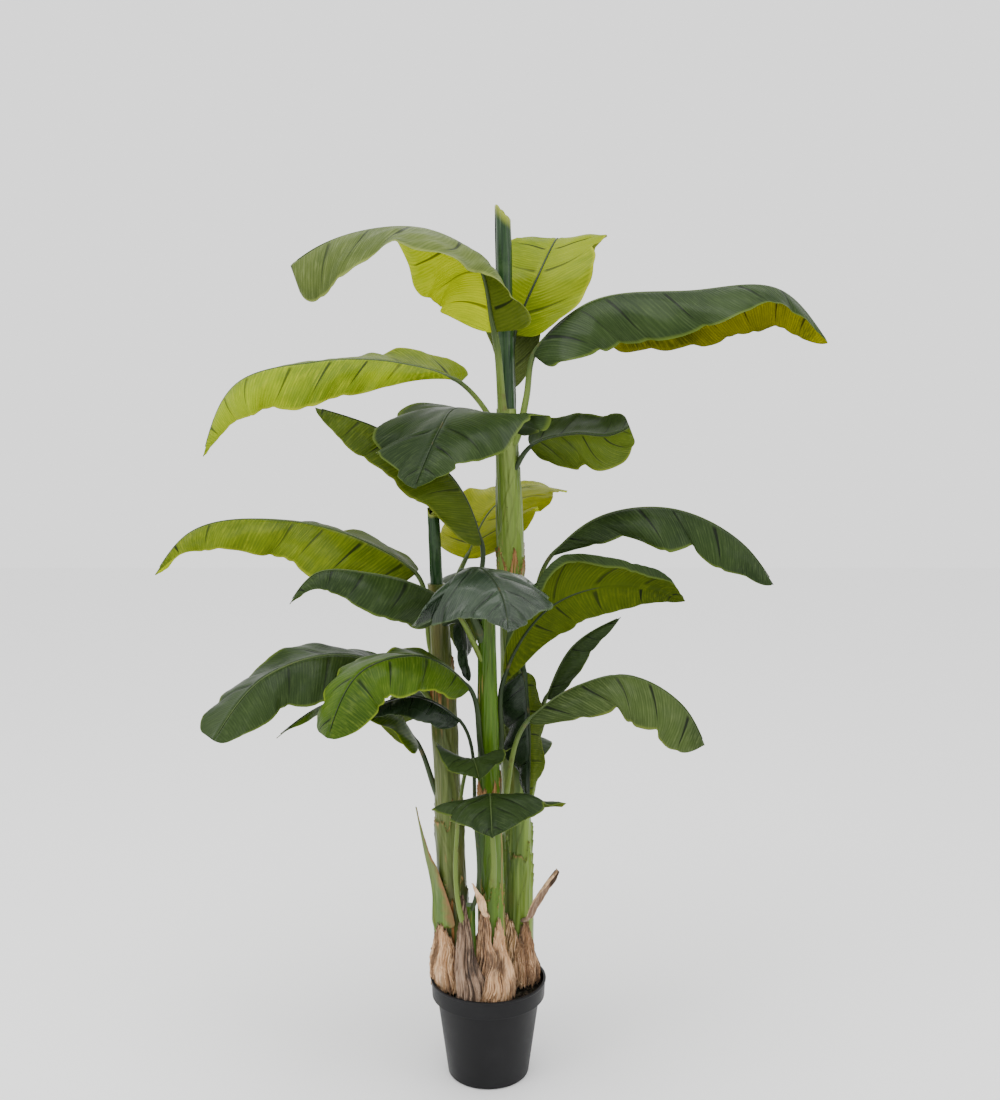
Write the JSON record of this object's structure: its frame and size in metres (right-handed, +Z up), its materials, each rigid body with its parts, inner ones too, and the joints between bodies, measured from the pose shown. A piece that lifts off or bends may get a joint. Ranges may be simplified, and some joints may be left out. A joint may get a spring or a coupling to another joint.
{
  "type": "artificial banana plant in a pot",
  "caption": "Tall artificial banana plant: leaning false stems with broad arching leaves, dry husks at their feet, in a plain round black pot",
  "frame": {"origin": "centre of the pot's flat underside", "axes": "+Z up along the stems, +X to the right seen from the front, +Y towards the back"},
  "size_m": [1.3511, 0.655, 1.804],
  "materials": {
    "pot": "satin black",
    "soil": "rough dark filling",
    "stem": "satin green sheath",
    "spear": "glossy dark green",
    "husk": "dry and wrinkled",
    "leaf_dark": "satin coated",
    "leaf_bright": "satin coated",
    "leaf_yellow": "satin coated"
  },
  "bodies": {
    "root": {"pot": "pot", "soil": "soil", "stem_tall": "stem", "stem_left": "stem", "stem_front": "stem", "stem_sucker": "stem", "spear_tall": "spear", "spear_left": "spear", "husk_left": "husk", "husk_left_inner": "husk", "husk_front": "husk", "husk_right": "husk", "bract_left": "stem", "strip_centre": "husk", "strip_right": "husk", "leaf_upper_right": "leaf_dark", "leaf_upper_front": "leaf_dark", "leaf_upper_right_short": "leaf_dark", "leaf_centre_rising": "leaf_dark", "leaf_middle_left_low": "leaf_dark", "leaf_middle_front": "leaf_dark", "leaf_middle_back": "leaf_dark", "leaf_middle_right": "leaf_dark", "leaf_low_left": "leaf_dark", "leaf_low_back_left": "leaf_dark", "leaf_low_back_right": "leaf_dark", "leaf_underside_right": "leaf_dark", "leaf_narrow_right": "leaf_dark", "leaf_hanging_right": "leaf_dark", "leaf_hanging_middle": "leaf_dark", "leaf_small_left": "leaf_dark", "leaf_small_front": "leaf_dark", "leaf_lowest_front": "leaf_dark", "leaf_bright_left": "leaf_bright", "leaf_low_left_under": "leaf_bright", "leaf_low_right": "leaf_bright", "leaf_top_left": "leaf_bright", "leaf_top_right": "leaf_yellow", "leaf_upper_left": "leaf_yellow", "leaf_centre_yellow": "leaf_yellow", "leaf_middle_left": "leaf_yellow", "leaf_top_back": "leaf_yellow"}
  },
  "joints": []
}
